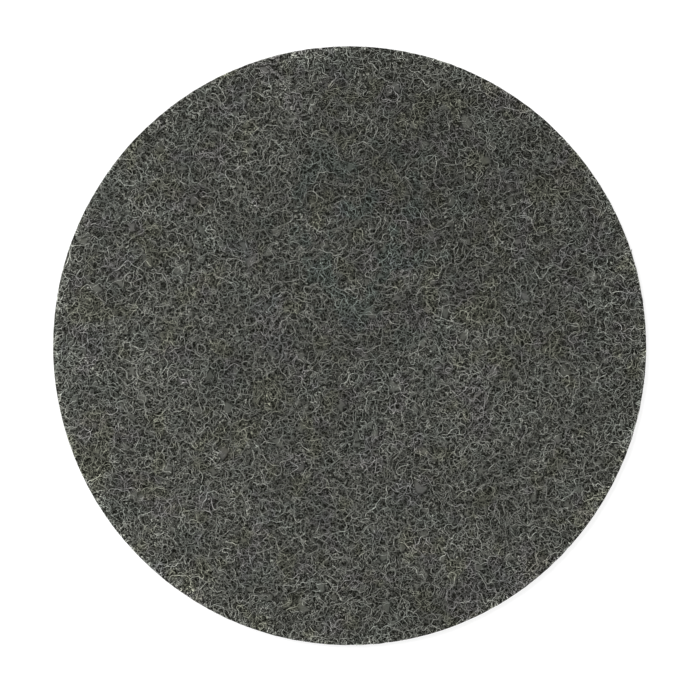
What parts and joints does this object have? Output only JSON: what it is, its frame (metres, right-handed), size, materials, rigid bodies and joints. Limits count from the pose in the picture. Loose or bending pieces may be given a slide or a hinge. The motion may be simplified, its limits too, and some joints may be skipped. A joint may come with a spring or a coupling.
{
  "type": "surface conditioning disc",
  "caption": "Round die-cut pad of needled, resin-bonded abrasive fibre web, open and curly on the working face, flat on the backing side.",
  "frame": {"origin": "middle of the flat backing side, on the surface that the disc lies on", "axes": "+Z out of the open working face; +Y along the slightly longer diameter"},
  "size_m": [0.1244, 0.1256, 0.0045],
  "materials": {
    "bonded_web": "matt, open and fibrous, charcoal grey with a slight olive cast"
  },
  "bodies": {
    "root": {"conditioning_disc": "bonded_web"}
  },
  "joints": []
}
